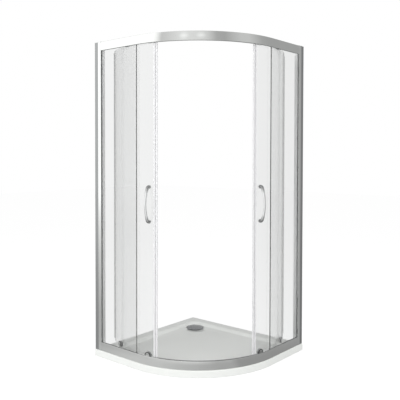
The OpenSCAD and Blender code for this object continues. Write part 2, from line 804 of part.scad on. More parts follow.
module handle_bar() {
  n = len(rings);
  points = [for (g = rings) each ring_points(g)];
  faces = concat(
    [[for (k = [0:bar_sides - 1]) k]],
    [for (i = [0:n - 2], k = [0:bar_sides - 1])
      [i * bar_sides + k, (i + 1) * bar_sides + k, (i + 1) * bar_sides + (k + 1) % bar_sides]],
    [for (i = [0:n - 2], k = [0:bar_sides - 1])
      [i * bar_sides + k, (i + 1) * bar_sides + (k + 1) % bar_sides,
       i * bar_sides + (k + 1) % bar_sides]],
    [[for (k = [bar_sides - 1:-1:0]) (n - 1) * bar_sides + k]]);
  polyhedron(points, faces, convexity = 4);
}

// Puts the origin on the outer face of the glass at the handle, X pointing outwards
module at_handle() at_angle(handle_a) translate([door_r, 0, handle_z]) children();

module handle_left() color([0.70, 0.71, 0.71]) at_handle() handle_bar();

module handle_right() color([0.70, 0.71, 0.71]) right_side() at_handle() handle_bar();

// Washers on both faces of the glass, with a sleeve through each hole
module handle_bushes() {
  at_handle() for (k = [-0.5, 0.5]) translate([0, 0, k * handle_pitch]) rotate([0, 90, 0])
    difference() {
      union() {
        translate([0, 0, seat_gap]) cylinder(h = bush_t - seat_gap, r = handle_foot_r);
        translate([0, 0, -glass_t - bush_t]) cylinder(h = bush_t - slip_gap, r = washer_r);
        translate([0, 0, -glass_t - bush_t]) cylinder(h = glass_t + 2 * bush_t, r = hole_r - 0.5);
      }
      translate([0, 0, -glass_t - 2 * bush_t]) cylinder(h = glass_t + 4 * bush_t, r = screw_r + 0.5);
    }
}

module handle_bushes_left() color([0.85, 0.86, 0.86]) handle_bushes();

module handle_bushes_right() color([0.85, 0.86, 0.86]) right_side() handle_bushes();

// Screws from inside, with round heads
module handle_screws() {
  at_handle() for (k = [-0.5, 0.5]) translate([-glass_t - bush_t, 0, k * handle_pitch])
    rotate([0, 90, 0]) {
      translate([0, 0, -3]) rotate_extrude() intersection() {
        square([7.5, 3]);
        translate([0, 10]) circle(10.3);
      }
      translate([0, 0, -1]) cylinder(h = glass_t + 2 * bush_t + 1, r = screw_r);
    }
}

module handle_screws_left() color([0.65, 0.66, 0.66]) handle_screws();

module handle_screws_right() color([0.65, 0.66, 0.66]) right_side() handle_screws();

// Hangers: a clamp over the glass's upper edge and a plate up to the wheel's axle
module hanger(a) {
  w = mm_angle(hanger_l / 2, mid_r);
  difference() {
    union() {
      arc_band(door_at - cheek_t, door_in + cheek_t, door_top - clamp_h, door_top + crown_t, a - w, a + w);
      at_angle(a) translate([frame_r - plate_at - plate_t, -plate_half_w, door_top + crown_t - over])
        cube([plate_t, 2 * plate_half_w, wheel_z - door_top - crown_t + over]);
      at_angle(a) translate([frame_r - plate_at - plate_t, 0, wheel_z]) rotate([0, 90, 0])
        cylinder(h = plate_t, r = boss_r + 1);
      at_angle(a) translate([frame_r - plate_at - over, 0, wheel_z]) rotate([0, 90, 0])
        cylinder(h = plate_at - wheel_in + over - seat_gap, r = boss_r);
    }
    arc_band(door_at - slip_gap, door_in + slip_gap, door_top - clamp_h - over, door_top + slip_gap,
             a - 2 * w, a + 2 * w);
    at_angle(a) translate([0, 0, wheel_z]) rotate([0, 90, 0]) cylinder(h = tray_w, r = axle_r + pin_gap);
  }
}

module top_hangers() for (a = hanger_angles) hanger(a);

module top_hangers_left() color([0.55, 0.56, 0.57]) top_hangers();

module top_hangers_right() color([0.55, 0.56, 0.57]) right_side() top_hangers();

module top_axle(a) {
  at_angle(a) translate([0, 0, wheel_z]) rotate([0, 90, 0]) {
    translate([0, 0, frame_r - plate_at - plate_t]) cylinder(h = plate_at + plate_t - wheel_out + 1.2,
                                                             r = axle_r);
    translate([0, 0, frame_r - wheel_out + seat_gap]) cylinder(h = 0.9, r = axle_r + 1.2);
  }
}

module top_axles_left() color([0.62, 0.63, 0.64]) for (a = hanger_angles) top_axle(a);

module top_axles_right() {
  color([0.62, 0.63, 0.64]) right_side() for (a = hanger_angles) top_axle(a);
}

// Top wheel: a flat tread with a recess in each face
module top_wheel(a) {
  at_angle(a) translate([frame_r - wheel_in, 0, wheel_z]) rotate([0, 90, 0]) difference() {
    cylinder(h = wheel_w, r = wheel_r);
    translate([0, 0, -over]) cylinder(h = wheel_w + 2 * over, r = axle_r + pin_gap);
    for (z = [-over, wheel_w - 1]) translate([0, 0, z]) difference() {
      cylinder(h = 1 + over, r = wheel_r - 1.5);
      cylinder(h = 1 + over, r = axle_r + 1.5);
    }
  }
}

module top_wheel_lead_left() color([0.92, 0.92, 0.90]) top_wheel(hanger_angles[0]);

module top_wheel_lead_right() color([0.92, 0.92, 0.90]) right_side() top_wheel(hanger_angles[0]);

module top_wheel_tail_left() color([0.92, 0.92, 0.90]) top_wheel(hanger_angles[1]);

module top_wheel_tail_right() color([0.92, 0.92, 0.90]) right_side() top_wheel(hanger_angles[1]);

// Bottom guides: a domed cap outside, a round-topped body inside and a wheel below
module at_guide(from_lead) at_angle(lead_a - from_lead) children();

module guide_cap() {
  difference() {
    translate([door_r + slip_gap, 0, guide_z]) rotate([0, 90, 0]) rotate_extrude() intersection() {
      square([guide_r, cap_t]);
      translate([0, cap_t - cap_dome_r]) circle(cap_dome_r, $fn = 360);
    }
    translate([door_r, -guide_r, guide_z - 2 * guide_r])
      cube([2 * cap_t, 2 * guide_r, door_bottom + seat_gap - guide_z + 2 * guide_r]);
  }
  translate([door_in_r + seat_gap, 0, bolt_z]) rotate([0, 90, 0]) difference() {
    cylinder(h = glass_t + over, r = cap_hole_r - seat_gap);
    translate([0, 0, -over]) cylinder(h = glass_t, r = screw_r + pin_gap);
  }
}

module guide_caps() for (a = [guide_lead_angle, guide_tail_angle]) at_guide(a) guide_cap();

module guide_caps_left() color([0.70, 0.71, 0.71]) guide_caps();

module guide_caps_right() color([0.70, 0.71, 0.71]) right_side() guide_caps();

// Body of a guide: solid round top with a screw hole
module guide_shell() {
  difference() {
    translate([body_back, 0, 0]) intersection() {
      translate([0, 0, guide_z]) rotate([0, 90, 0]) cylinder(h = body_t, r = guide_r);
      translate([0, -guide_r, body_bottom]) cube([body_t, 2 * guide_r, 2 * guide_r]);
    }
    translate([body_back - over, 0, bolt_z]) rotate([0, 90, 0])
      cylinder(h = body_t + 2 * over, r = screw_r + slip_gap);
  }
}

module guide_body_lead() {
  at_guide(guide_lead_angle) difference() {
    guide_shell();
    translate([slider_back - seat_gap, -slider_w / 2 - seat_gap, body_bottom - over])
      cube([slider_t + 2 * seat_gap, slider_w + 2 * seat_gap, slot_top - body_bottom + over]);
    translate([body_back - over, -tab_w / 2 - seat_gap, body_bottom - over])
      cube([slider_back - body_back + over, tab_w + 2 * seat_gap, slot_top - body_bottom + over]);
  }
}

module guide_body_lead_left() color([0.62, 0.63, 0.64]) guide_body_lead();

module guide_body_lead_right() color([0.62, 0.63, 0.64]) right_side() guide_body_lead();

// Pin for a guide wheel, hanging from a foot at height z
module guide_foot(z) {
  translate([frame_r - guide_wheel_at, 0, z]) cylinder(h = foot_t, r = guide_wheel_r - 1.5);
  translate([slider_back, -slider_w / 2, z])
    cube([slider_at + slider_t - guide_wheel_at, slider_w, foot_t]);
  translate([frame_r - guide_wheel_at, 0, z - guide_wheel_h - 2 * seat_gap - pin_head_h]) {
    cylinder(h = guide_wheel_h + 2 * seat_gap + pin_head_h + over, r = guide_pin_r);
    cylinder(h = pin_head_h, r = guide_pin_r + 1.5);
  }
}

module guide_body_tail() {
  at_guide(guide_tail_angle) {
    guide_shell();
    guide_foot(tail_foot_z);
    translate([body_back + over, -slider_w / 2, tail_foot_z + over])
      cube([body_t - 2 * over, slider_w, 2 * foot_t]);
  }
}

module guide_body_tail_left() color([0.62, 0.63, 0.64]) guide_body_tail();

module guide_body_tail_right() color([0.62, 0.63, 0.64]) right_side() guide_body_tail();

module guide_screws() {
  for (a = [guide_lead_angle, guide_tail_angle]) at_guide(a)
    translate([body_back, 0, bolt_z]) rotate([0, 90, 0]) {
      translate([0, 0, -screw_head_h]) cylinder(h = screw_head_h, r = screw_head_r);
      translate([0, 0, -over]) cylinder(h = door_r - body_back - over, r = screw_r);
    }
}

module guide_screws_left() color([0.6, 0.6, 0.62]) guide_screws();

module guide_screws_right() color([0.6, 0.6, 0.62]) right_side() guide_screws();

// Quick-release slider: a plate in the guide's body, a thumb tab and the wheel's foot
module guide_slider() {
  at_guide(guide_lead_angle) {
    translate([slider_back, -slider_w / 2, lead_foot_z])
      cube([slider_t, slider_w, tab_z + tab_h - lead_foot_z]);
    translate([body_back - tab_h, -tab_w / 2, tab_z])
      cube([slider_back - body_back + tab_h + over, tab_w, tab_h]);
    guide_foot(lead_foot_z);
  }
}

module guide_slider_left() color([0.45, 0.46, 0.47]) guide_slider();

module guide_slider_right() color([0.45, 0.46, 0.47]) right_side() guide_slider();

module guide_wheel(from_lead, z) {
  at_guide(from_lead) translate([frame_r - guide_wheel_at, 0, z]) difference() {
    cylinder(h = guide_wheel_h, r = guide_wheel_r);
    translate([0, 0, -over]) cylinder(h = guide_wheel_h + 2 * over, r = guide_pin_r + pin_gap);
  }
}

module guide_wheel_lead_left() color([0.9, 0.9, 0.88]) guide_wheel(guide_lead_angle, lead_wheel_z);

module guide_wheel_lead_right() {
  color([0.9, 0.9, 0.88]) right_side() guide_wheel(guide_lead_angle, lead_wheel_z);
}

module guide_wheel_tail_left() color([0.9, 0.9, 0.88]) guide_wheel(guide_tail_angle, tail_wheel_z);

module guide_wheel_tail_right() {
  color([0.9, 0.9, 0.88]) right_side() guide_wheel(guide_tail_angle, tail_wheel_z);
}

shower_tray();
waste_body();
waste_seal();
waste_cover();
waste_strainer();
wall_profile_left();
wall_profile_right();
jamb_left();
jamb_right();
profile_caps();
top_rail();
bottom_rail();
rail_gaskets();
rail_infills();
rail_end_blocks();
rail_screws();
door_stops();
fixed_glass_left();
fixed_glass_right();
setting_blocks();
jamb_gasket_left();
jamb_gasket_right();
edge_seal_left();
edge_seal_right();
jamb_screws();
jamb_screw_caps();
door_glass_left();
door_glass_right();
magnet_seal_left();
magnet_seal_right();
trailing_seal_left();
trailing_seal_right();
handle_left();
handle_right();
handle_bushes_left();
handle_bushes_right();
handle_screws_left();
handle_screws_right();
top_hangers_left();
top_hangers_right();
top_axles_left();
top_axles_right();
top_wheel_lead_left();
top_wheel_lead_right();
top_wheel_tail_left();
top_wheel_tail_right();
guide_caps_left();
guide_caps_right();
guide_screws_left();
guide_screws_right();
guide_body_lead_left();
guide_body_lead_right();
guide_body_tail_left();
guide_body_tail_right();
guide_slider_left();
guide_slider_right();
guide_wheel_lead_left();
guide_wheel_lead_right();
guide_wheel_tail_left();
guide_wheel_tail_right();
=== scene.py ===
"""Shower enclosure: curved glass doors in polished rails on a white resin tray, in a pale studio."""

import bpy
import numpy as np
from mathutils import Matrix


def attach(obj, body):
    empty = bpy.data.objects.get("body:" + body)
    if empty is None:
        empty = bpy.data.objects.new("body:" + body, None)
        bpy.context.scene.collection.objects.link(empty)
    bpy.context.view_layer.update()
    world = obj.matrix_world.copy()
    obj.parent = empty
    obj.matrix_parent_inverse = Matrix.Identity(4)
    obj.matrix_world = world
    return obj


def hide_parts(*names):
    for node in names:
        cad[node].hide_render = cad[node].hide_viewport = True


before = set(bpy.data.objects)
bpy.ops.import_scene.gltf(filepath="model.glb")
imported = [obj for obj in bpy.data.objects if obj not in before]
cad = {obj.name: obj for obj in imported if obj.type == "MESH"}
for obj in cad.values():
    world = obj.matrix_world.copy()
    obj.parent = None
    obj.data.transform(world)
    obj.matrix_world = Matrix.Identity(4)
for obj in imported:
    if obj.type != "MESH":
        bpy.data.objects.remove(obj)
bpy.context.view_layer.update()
scene = bpy.context.scene
SIDES = ("left", "right")

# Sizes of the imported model, in metres and degrees
HALF = 0.45  # half the tray's width
TRAY_R = 0.55  # the tray's round front corner
ARC = (-0.1, 0.1)  # centre of that corner, of the rails and of the doors
FACE = 0.446  # outer face of the frame, along X on the right and -Y on the left
RIM_Z = 0.040
RIM_EDGE = 0.004  # radius of the rim's round edge
TRAY_CORNER = 0.003  # plan radius of the tray's three square corners
BASIN_WALL = 0.062  # from the tray's two wall sides to the basin's edge
BASIN_FRONT = 0.050  # from the tray's glazed sides to the basin's edge
BASIN_CORNER = 0.060  # plan radius of the basin's three corners
FLOOR_Z = 0.024  # the basin's floor at the waste
FOOT_Z = 0.0262  # the basin's floor at the foot of its slope
WASTE = np.array([-0.304, 0.304])  # middle of the waste
WASTE_R = 0.0503  # recess for the waste's flange
SEAT_Z = 0.022  # floor of that recess
OUTLET_R = 0.0450
JAMB_BACK = 0.0128  # from the frame's outer face to where the glass hides a jamb
GASKET_BACK = 0.0072  # and to where it hides a jamb's gasket
DOOR_R = 0.527  # outer face of the curved glass
HANDLE_AT = -81.1  # turn of the left handle about ARC
HANDLE_Z = 0.933  # middle of the handles
CAPS_R = 0.5290  # middle of the guide caps
CAPS_Z = 0.087
CAP_SHADE_R = 0.0140  # radius outside which a cap's rim gets painted shade
CAPS_AT = (-82.4, -111.4)  # turns of the left door's guide caps about ARC

# Stretches of noise: drawing lines along a level profile or an upright one, and no direction
LEVEL = (0.06, 0.06, 6.0)
UPRIGHT = (6.0, 6.0, 0.06)
EVEN = (1.0, 1.0, 1.0)

WHITE = (1.0, 1.0, 1.0, 1.0)

# What mirrors see, as azimuth in degrees and brightness: at the horizon, on the floor beside the
# tray, and on the floor a step further out
BRIGHT = 1.45
STUDIO = (
    (-180, 0.32), (-162, 0.36), (-150, 0.95), (-145, 1.45), (-109, 1.45), (-104, 1.25), (-97, 0.75),
    (-83, 0.86), (-72, 0.98), (-50, 0.92), (-39, 0.81), (-28, 0.53), (-18, 0.50), (-7, 0.63), (4, 0.73),
    (15, 0.73), (25, 0.63), (36, 0.50), (46, 0.47), (60, 0.46), (80, 0.60), (120, 0.45), (150, 0.32),
    (180, 0.32),
)
FLOOR_BESIDE = (
    (-180, 0.62), (-138, 0.62), (-115, 0.72), (-85, 0.70), (-55, 0.60), (-33, 0.50), (-20, 0.50),
    (-11, 0.39), (33, 0.37), (58, 0.36), (180, 0.60),
)
FLOOR_BEYOND = (
    (-180, 0.52), (-138, 0.52), (-115, 0.60), (-85, 0.86), (-62, 1.10), (-50, 1.05), (-40, 0.86),
    (-33, 0.64), (-20, 0.66), (-11, 0.43), (33, 0.44), (58, 0.40), (180, 0.60),
)
# Two soft round windows in front, as azimuth, height and size in degrees, and how bright they are
WINDOWS = ((-68, 11.5, 7), (-47, 12.0, 7))
WINDOW_LIGHT = 0.20

# Where the floor that mirrors see changes, in metres from the middle: from the floor beside the
# tray to the floor beyond, and from there to the walls, up to the floor's end
FLOOR_STEP = (0.62, 0.95)
FLOOR_FADE = (1.6, 14.0)

# The floor's height, its own colour and the glow that makes it white, and its colour to all but camera and
# mirrors; the dome that lights the rest, as height and brightness
FLOOR_DROP = -0.0005  # just below the tray's underside
FLOOR_MATTE = 0.20
FLOOR_GLOW = 0.885
FLOOR_PLAIN = 0.50
DOME = ((0.0, 0.50), (0.35, 0.53), (1.0, 0.52))

# Two soft lamps, as name, place, width, height and power in watts, and the point they face
LAMPS = (("key", (-0.6, -4.3, 1.8), 3.6, 1.4, 133), ("fill", (4.3, 0.2, 1.8), 3.0, 1.4, 96))
LAMP_AIM = (0.0, 0.0, 0.2)

# The camera's place, and its turn, dip and roll in degrees
CAMERA_PLACE = (2.2551, -2.6836, 1.2074)
CAMERA_TURNS = (40.11, 1.42, 0.10)
PHOTO_SIDE = 400  # pixels
FOCAL = 578.6  # pixels
SHIFT = -30.84  # pixels


# ---------------------------------------------------------------- node helpers


def join(tree, source, target):
    """Links an output socket to an input socket."""
    tree.links.new(source, target)


def add_node(tree, kind, **settings):
    """Adds a node; a setting that names an input sets that input's value, any other sets the node."""
    node = tree.nodes.new(kind)
    for key, value in settings.items():
        if hasattr(node, key):
            setattr(node, key, value)
        else:
            node.inputs[key.replace("_", " ")].default_value = value
    return node


def sums(tree, operation, *values):
    """A Math node's output, from sockets or plain numbers."""
    node = add_node(tree, "ShaderNodeMath", operation=operation)
    for slot, value in zip(node.inputs, values):
        if isinstance(value, (int, float)):
            slot.default_value = value
        else:
            join(tree, value, slot)
    return node.outputs[0]


def grain(tree, scale, detail, stretch=EVEN):
    """Noise on Object coordinates, from 0 to 1, stretched along the axes with small numbers."""
    mapping = add_node(tree, "ShaderNodeMapping")
    mapping.inputs["Scale"].default_value = stretch
    join(tree, object_place(tree), mapping.inputs["Vector"])
    noise = add_node(tree, "ShaderNodeTexNoise", Scale=scale, Detail=detail, Roughness=0.55)
    join(tree, mapping.outputs[0], noise.inputs["Vector"])
    return noise.outputs["Fac"]


def between(tree, value, low, high, start=0.3, end=0.7):
    """Spreads a value that runs from start to end over low to high."""
    node = add_node(tree, "ShaderNodeMapRange")
    for slot, number in zip(("From Min", "From Max", "To Min", "To Max"), (start, end, low, high)):
        node.inputs[slot].default_value = number
    join(tree, value, node.inputs["Value"])
    return node.outputs[0]


def shades(tree, value, *stops):
    """A colour ramp with (place, colour) stops."""
    node = add_node(tree, "ShaderNodeValToRGB")
    ramp = node.color_ramp
    while len(ramp.elements) < len(stops):
        ramp.elements.new(0.5)
    for element, (place, colour) in zip(ramp.elements, stops):
        element.position = place
        element.color = (*colour, 1.0)
    join(tree, value, node.inputs["Fac"])
    return node.outputs["Color"]


def relief(tree, height, strength, depth):
    """A Bump node's normal from a height."""
    bump = add_node(tree, "ShaderNodeBump", Strength=strength, Distance=depth)
    join(tree, height, bump.inputs["Height"])
    return bump.outputs["Normal"]


def finish_of(name, **settings):
    """A material with one Principled shader; gives the material, its tree and the shader."""
    material = bpy.data.materials.new(name)
    material.use_nodes = True
    tree = material.node_tree
    tree.nodes.clear()
    out = add_node(tree, "ShaderNodeOutputMaterial")
    shader = add_node(tree, "ShaderNodeBsdfPrincipled")
    for key, value in settings.items():
        socket = shader.inputs[key.replace("_", " ")]
        socket.default_value = (*value, 1.0) if key == "Base_Color" else value
    join(tree, shader.outputs[0], out.inputs["Surface"])
    return material, tree, shader


def shader_of(material):
    """A material's node tree and its Principled shader."""
    tree = material.node_tree
    return tree, next(node for node in tree.nodes if node.type == "BSDF_PRINCIPLED")


def blend(tree, share, first, second, blend_type="MIX"):
    """Two colours, given as sockets or plain colours, blended by a share."""
    mix = add_node(tree, "ShaderNodeMix", data_type="RGBA", blend_type=blend_type)
    join(tree, share, mix.inputs["Factor"])
    for slot, colour in ((6, first), (7, second)):
        if isinstance(colour, tuple):
            mix.inputs[slot].default_value = colour
        else:
            join(tree, colour, mix.inputs[slot])
    return mix.outputs[2]


def darken(material, share, kept):
    """Multiplies a material's base colour by the grey kept, as far as share goes from 0 to 1."""
    tree, shader = shader_of(material)
    base = shader.inputs["Base Color"]
    join(tree, blend(tree, share, base.links[0].from_socket, (kept, kept, kept, 1.0), "MULTIPLY"), base)


def object_place(tree):
    """The Object coordinates, as a vector."""
    return add_node(tree, "ShaderNodeTexCoord").outputs["Object"]


def apart(tree, vector):
    """The X, Y and Z sockets of a vector."""
    parts = add_node(tree, "ShaderNodeSeparateXYZ")
    join(tree, vector, parts.inputs[0])
    return parts.outputs


def distance(tree, place, centre):
    """How far a place lies from a fixed point."""
    away = add_node(tree, "ShaderNodeVectorMath", operation="DISTANCE")
    join(tree, place, away.inputs[0])
    away.inputs[1].default_value = centre
    return away.outputs["Value"]


# ---------------------------------------------------------------- finishes


def polished_metal(name, colour, rough, along):
    """Polished aluminium: faint drawing lines along the section, a little cloudiness in the polish."""
    material, tree, shader = finish_of(name, Metallic=1.0)
    lines = grain(tree, 60.0, 2.0, along)
    clouds = grain(tree, 9.0, 3.0)
    base = shades(tree, clouds, (0.3, [c * 0.97 for c in colour]), (0.7, colour))
    join(tree, base, shader.inputs["Base Color"])
    join(tree, between(tree, lines, rough * 0.85, rough * 1.2), shader.inputs["Roughness"])
    join(tree, relief(tree, lines, 0.05, 0.0002), shader.inputs["Normal"])
    return material


def paint_shade_at_ends(material, middle, start, end, kept):
    """Paints shade into an upright metal piece towards its two ends, a painted dark reflection: the
    colour falls evenly from full at the height start above or below the middle to kept at end."""
    tree, shader = shader_of(material)
    height = apart(tree, object_place(tree))["Z"]
    off = sums(tree, "ABSOLUTE", sums(tree, "SUBTRACT", height, middle))
    darken(material, between(tree, off, 0.0, 1.0, start, end), kept)


def paint_rim_shade(material, inner, kept):
    """Paints shade on each round guide cap outside the radius inner, a painted darker rim around its
    lighter middle: the left door's two caps, which sit at the turns CAPS_AT, and their mirror images on
    the right door."""
    tree, shader = shader_of(material)
    place = object_place(tree)
    offs = []
    for turn in np.radians(CAPS_AT):
        x, y = ARC[0] + CAPS_R * np.cos(turn), ARC[1] + CAPS_R * np.sin(turn)
        offs += [distance(tree, place, (x, y, CAPS_Z)), distance(tree, place, (-y, -x, CAPS_Z))]
    nearest = offs[0]
    for off in offs[1:]:
        nearest = sums(tree, "MINIMUM", nearest, off)
    darken(material, between(tree, nearest, 0.0, 1.0, inner, inner + 0.001), kept)


def clear_glass(name, tint):
    """Toughened glass of real thickness. Rays from the lamps pass straight through it, and each of
    the two faces that they cross takes the square root of the tint."""
    material, tree, shader = finish_of(
        name, Base_Color=tint, Transmission_Weight=1.0, IOR=1.45, Roughness=0.0
    )
    out = next(n for n in tree.nodes if n.type == "OUTPUT_MATERIAL")
    path = add_node(tree, "ShaderNodeLightPath")
    passing = add_node(tree, "ShaderNodeBsdfTransparent")
    passing.inputs["Color"].default_value = (*[c**0.5 for c in tint], 1.0)
    mix = add_node(tree, "ShaderNodeMixShader")
    join(tree, path.outputs["Is Shadow Ray"], mix.inputs["Fac"])
    join(tree, shader.outputs[0], mix.inputs[1])
    join(tree, passing.outputs[0], mix.inputs[2])
    join(tree, mix.outputs[0], out.inputs["Surface"])
    return material


def clear_vinyl(name, colour, alpha):
    """Clear flexible vinyl, thin enough to show what lies behind it in its own place."""
    material, tree, shader = finish_of(name, Base_Color=colour, Alpha=alpha, IOR=1.3)
    drawn = grain(tree, 300.0, 2.0, (1, 1, 0.1))
    join(tree, between(tree, drawn, 0.176, 0.264), shader.inputs["Roughness"])
    join(tree, relief(tree, drawn, 0.04, 0.0002), shader.inputs["Normal"])
    return material


def behind_glass(tree, change):
    """1 behind the glass and 0 outside it; the change lies at a depth from the frame's outer face,
    where the depth runs along X or Y, whichever is nearer."""
    place = apart(tree, object_place(tree))
    outward = sums(tree, "MAXIMUM", place["X"], sums(tree, "MULTIPLY", place["Y"], -1.0))
    return sums(tree, "LESS_THAN", outward, FACE - change)


def paint_light_behind_glass(material, outside, behind, change, rough):
    """Gives a profile a paler colour and a softer polish behind the glass than outside it: painted light
    on the face behind the glass, which lies in shade there.
    """
    tree, shader = shader_of(material)
    back = behind_glass(tree, change)
    join(tree, shades(tree, back, (0.4, outside), (0.6, behind)), shader.inputs["Base Color"])
    polish = shader.inputs["Roughness"].links[0].from_socket
    softer = sums(tree, "MAXIMUM", polish, sums(tree, "MULTIPLY", back, rough))
    join(tree, softer, shader.inputs["Roughness"])


def glazing_strip(name, dark, change):
    """A strip that is dark rubber outside the glass and pale vinyl behind it."""
    material, tree, shader = finish_of(name, Roughness=0.45, IOR=1.3)
    base = shades(tree, behind_glass(tree, change), (0.4, dark), (0.6, (0.90, 0.90, 0.90)))
    join(tree, base, shader.inputs["Base Color"])
    join(tree, relief(tree, grain(tree, 900.0, 2.0), 0.08, 0.0002), shader.inputs["Normal"])
    return material


def moulded(name, colour, rough):
    """Moulded plastic, rubber or vinyl: a fine pitted surface and small changes of tone."""
    material, tree, shader = finish_of(name)
    pits = grain(tree, 960.0, 2.0)
    tone = grain(tree, 36.0, 3.0)
    base = shades(tree, tone, (0.3, [c * 0.93 for c in colour]), (0.7, colour))
    join(tree, base, shader.inputs["Base Color"])
    join(tree, between(tree, pits, rough * 0.85, rough * 1.15), shader.inputs["Roughness"])
    join(tree, relief(tree, pits, 0.08, 0.0002), shader.inputs["Normal"])
    return material


def cast_resin(name, colour):
    """Cast resin tray: gel coat with faint clouds, a soft sheen and a slightly rippled surface."""
    material, tree, shader = finish_of(name, Coat_Weight=0.25, Coat_Roughness=0.12)
    clouds = grain(tree, 3.0, 4.0)
    fine = grain(tree, 90.0, 2.0)
    base = shades(tree, clouds, (0.3, [c * 0.985 for c in colour]), (0.7, colour))
    join(tree, base, shader.inputs["Base Color"])
    join(tree, between(tree, fine, 0.30, 0.38), shader.inputs["Roughness"])
    join(tree, relief(tree, clouds, 0.03, 0.0004), shader.inputs["Normal"])
    return material


rail_metal = polished_metal("rail_metal", (0.73, 0.74, 0.727), 0.055, LEVEL)
profile_metal = polished_metal("profile_metal", (0.40, 0.41, 0.41), 0.42, UPRIGHT)
jamb_metal = polished_metal("jamb_metal", (0.74, 0.75, 0.75), 0.07, UPRIGHT)
chrome = polished_metal("chrome", (0.66, 0.67, 0.68), 0.06, EVEN)
# the jambs' faces behind the glass get painted light
paint_light_behind_glass(jamb_metal, (0.74, 0.75, 0.74), (0.98, 0.98, 0.98), JAMB_BACK, 0.45)
handle_chrome = polished_metal("handle_chrome", (0.84, 0.85, 0.85), 0.05, EVEN)
# the handles' ends get painted shade, a painted dark reflection
paint_shade_at_ends(handle_chrome, HANDLE_Z, 0.060, 0.094, 0.42)
cap_chrome = polished_metal("cap_chrome", (0.68, 0.69, 0.68), 0.10, EVEN)
# the guide caps get painted shade at their rims
paint_rim_shade(cap_chrome, CAP_SHADE_R, 0.26)
waste_chrome = polished_metal("waste_chrome", (0.52, 0.53, 0.54), 0.24, EVEN)
steel = polished_metal("steel", (0.56, 0.56, 0.57), 0.22, (2.0, 2.0, 2.0))
fixed_pane = clear_glass("fixed_pane", (0.857, 0.861, 0.859))
door_pane = clear_glass("door_pane", (0.857, 0.861, 0.859))
gasket = moulded("gasket", (0.10, 0.105, 0.105), 0.45)
jamb_gasket = glazing_strip("jamb_gasket", (0.16, 0.165, 0.165), GASKET_BACK)
edge_vinyl = clear_vinyl("edge_vinyl", (0.66, 0.67, 0.67), 0.05)
trailing_vinyl = clear_vinyl("trailing_vinyl", (0.36, 0.37, 0.37), 0.34)
magnet_vinyl = clear_vinyl("magnet_vinyl", (0.87, 0.87, 0.88), 0.66)
washer_vinyl = moulded("washer_vinyl", (0.75, 0.76, 0.76), 0.30)
grey_plastic = moulded("grey_plastic", (0.36, 0.37, 0.37), 0.38)
dark_plastic = moulded("dark_plastic", (0.13, 0.13, 0.13), 0.36)
cap_plastic = moulded("cap_plastic", (0.50, 0.51, 0.51), 0.34)
pale_plastic = moulded("pale_plastic", (0.88, 0.88, 0.88), 0.34)
black_plastic = moulded("black_plastic", (0.03, 0.03, 0.03), 0.42)
nylon = moulded("nylon", (0.82, 0.82, 0.79), 0.40)
resin = cast_resin("resin", (0.856, 0.871, 0.848))


def dress(material, *names):
    """Gives CAD nodes a finish; a name that ends in _ stands for its left and right node."""
    for name in names:
        for full in [name + s for s in SIDES] if name.endswith("_") else [name]:
            slots = cad[full].data.materials
            slots.clear()
            slots.append(material)


dress(rail_metal, "top_rail", "bottom_rail", "rail_infills")
dress(profile_metal, "wall_profile_")
dress(jamb_metal, "jamb_")
dress(chrome, "handle_screws_")
dress(cap_chrome, "guide_caps_")
dress(waste_chrome, "waste_cover")
dress(steel, "waste_body", "waste_strainer", "rail_screws", "jamb_screws", "guide_screws_", "top_axles_")
dress(fixed_pane, "fixed_glass_")
dress(door_pane, "door_glass_")
dress(gasket, "rail_gaskets", "setting_blocks", "waste_seal")
dress(jamb_gasket, "jamb_gasket_")
dress(edge_vinyl, "edge_seal_")
dress(trailing_vinyl, "trailing_seal_")
dress(washer_vinyl, "handle_bushes_")
dress(magnet_vinyl, "magnet_seal_")
dress(grey_plastic, "top_hangers_", "guide_slider_", "guide_body_lead_")
dress(dark_plastic, "guide_body_tail_")
dress(cap_plastic, "profile_caps")
dress(pale_plastic, "jamb_screw_caps")
dress(black_plastic, "rail_end_blocks", "door_stops")
dress(nylon, "top_wheel_lead_", "top_wheel_tail_", "guide_wheel_lead_", "guide_wheel_tail_")


# ---------------------------------------------------------------- surfaces


def smooth_mesh(name, rings, material, body, node, loop=False):
    """A smooth mesh through rings of points, given as an array of rings x points x 3. Each ring is
    closed, each point joins its neighbours in its ring and in the next ring. With loop the last
    ring joins the first; otherwise a point in the middle of each end closes it."""
    count, around = rings.shape[:2]
    ring, place = np.meshgrid(np.arange(count if loop else count - 1), np.arange(around), indexing="ij")
    after, beside = (ring + 1) % count, (place + 1) % around
    quads = np.stack([ring * around + place, ring * around + beside, after * around + beside,
                      after * around + place], -1).reshape(-1, 4)
    points = rings.reshape(-1, 3)
    faces = quads.tolist()
    if not loop:
        base = len(points)
        points = np.vstack([points, rings[0].mean(0), rings[-1].mean(0)])
        turn = np.arange(around)
        onward = (turn + 1) % around
        last = (count - 1) * around
        faces += np.stack([np.full(around, base), onward, turn], -1).tolist()
        faces += np.stack([np.full(around, base + 1), last + turn, last + onward], -1).tolist()
    mesh = bpy.data.meshes.new(name)
    mesh.from_pydata(points.tolist(), [], faces)
    mesh.polygons.foreach_set("use_smooth", np.ones(len(mesh.polygons), bool))
    mesh.materials.append(material)
    piece = bpy.data.objects.new(name, mesh)
    scene.collection.objects.link(piece)
    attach(piece, body)
    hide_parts(node)


def stretch_line(start, end, count):
    """Evenly spaced points from start up to, but without, end."""
    share = np.linspace(0, 1, count, endpoint=False)[:, None]
    return np.array(start) + share * (np.array(end) - np.array(start))


def round_line(centre, radius, start, end, count):
    """Points of a circular arc between two angles in degrees, without its last point."""
    angle = np.radians(np.linspace(start, end, count, endpoint=False))
    return np.array(centre) + radius * np.stack([np.cos(angle), np.sin(angle)], -1)


